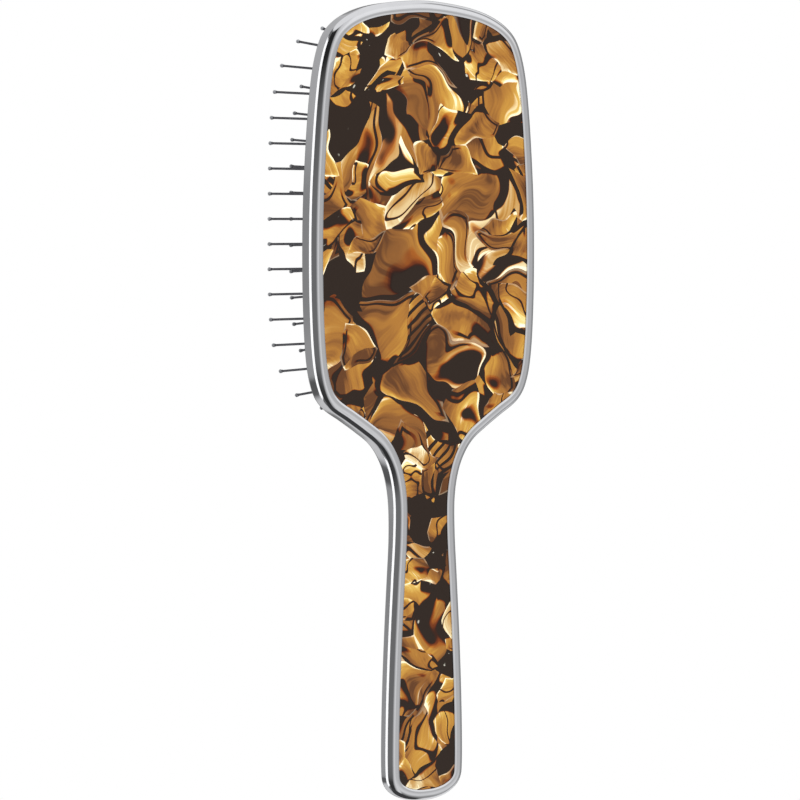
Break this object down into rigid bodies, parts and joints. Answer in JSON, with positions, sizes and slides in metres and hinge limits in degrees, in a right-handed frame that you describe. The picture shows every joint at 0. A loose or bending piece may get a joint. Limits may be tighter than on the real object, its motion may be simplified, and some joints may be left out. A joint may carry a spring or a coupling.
{
  "type": "hairbrush",
  "caption": "Paddle hairbrush with a plated frame, a flat tortoiseshell inlay on its back and an air-cushioned field of ball-tipped pins.",
  "frame": {"origin": "bottom centre of the bounding box: the brush lies on its flat back at z = 0", "axes": "+X across the width, +Y along the length towards the head, +Z out through the pins"},
  "size_m": [0.0818, 0.245, 0.0379],
  "materials": {
    "polished_chrome": "mirror-polished plating",
    "tortoiseshell_acetate": "polished, amber and pearl flakes in dark brown",
    "adhesive_film": "clear film",
    "tray_plastic": "moulded, matte",
    "zinc_plated_steel": "zinc plated",
    "cushion_rubber": "soft matte",
    "dark_steel_wire": "drawn, dark polished",
    "grey_ball_tips": "smooth gloss"
  },
  "bodies": {
    "brush_body": {"frame": "polished_chrome", "inlay_plate": "tortoiseshell_acetate", "inlay_adhesive": "adhesive_film", "cushion_tray": "tray_plastic", "tray_screws": "zinc_plated_steel", "cushion": "cushion_rubber", "cushion_bezel": "polished_chrome"},
    "ring_1": {"pins_ring_1": "dark_steel_wire", "tips_ring_1": "grey_ball_tips"},
    "ring_2": {"pins_ring_2": "dark_steel_wire", "tips_ring_2": "grey_ball_tips"},
    "ring_3": {"pins_ring_3": "dark_steel_wire", "tips_ring_3": "grey_ball_tips"},
    "ring_4": {"pins_ring_4": "dark_steel_wire", "tips_ring_4": "grey_ball_tips"},
    "centre_row": {"pins_centre_row": "dark_steel_wire", "tips_centre_row": "grey_ball_tips"}
  },
  "joints": [
    {"name": "centre_row_press", "type": "slide", "parent": "brush_body", "child": "centre_row", "axis": [0, 0, -1], "range_m": [0, 0.0036], "stiffness_N_per_m": 150, "springref_m": -0.0004, "deforming": ["cushion"]},
    {"name": "ring_4_press", "type": "slide", "parent": "brush_body", "child": "ring_4", "axis": [0, 0, -1], "range_m": [0, 0.00324], "stiffness_N_per_m": 350, "springref_m": -0.0004},
    {"name": "ring_3_press", "type": "slide", "parent": "brush_body", "child": "ring_3", "axis": [0, 0, -1], "range_m": [0, 0.00263], "stiffness_N_per_m": 500, "springref_m": -0.0004},
    {"name": "ring_2_press", "type": "slide", "parent": "brush_body", "child": "ring_2", "axis": [0, 0, -1], "range_m": [0, 0.00194], "stiffness_N_per_m": 700, "springref_m": -0.0004},
    {"name": "ring_1_press", "type": "slide", "parent": "brush_body", "child": "ring_1", "axis": [0, 0, -1], "range_m": [0, 0.00101], "stiffness_N_per_m": 900, "springref_m": -0.0004}
  ],
  "couplings": [
    {"joint": "ring_4_press", "follows": "centre_row_press", "ratio": 0.9},
    {"joint": "ring_3_press", "follows": "centre_row_press", "ratio": 0.73},
    {"joint": "ring_2_press", "follows": "centre_row_press", "ratio": 0.54},
    {"joint": "ring_1_press", "follows": "centre_row_press", "ratio": 0.28}
  ]
}
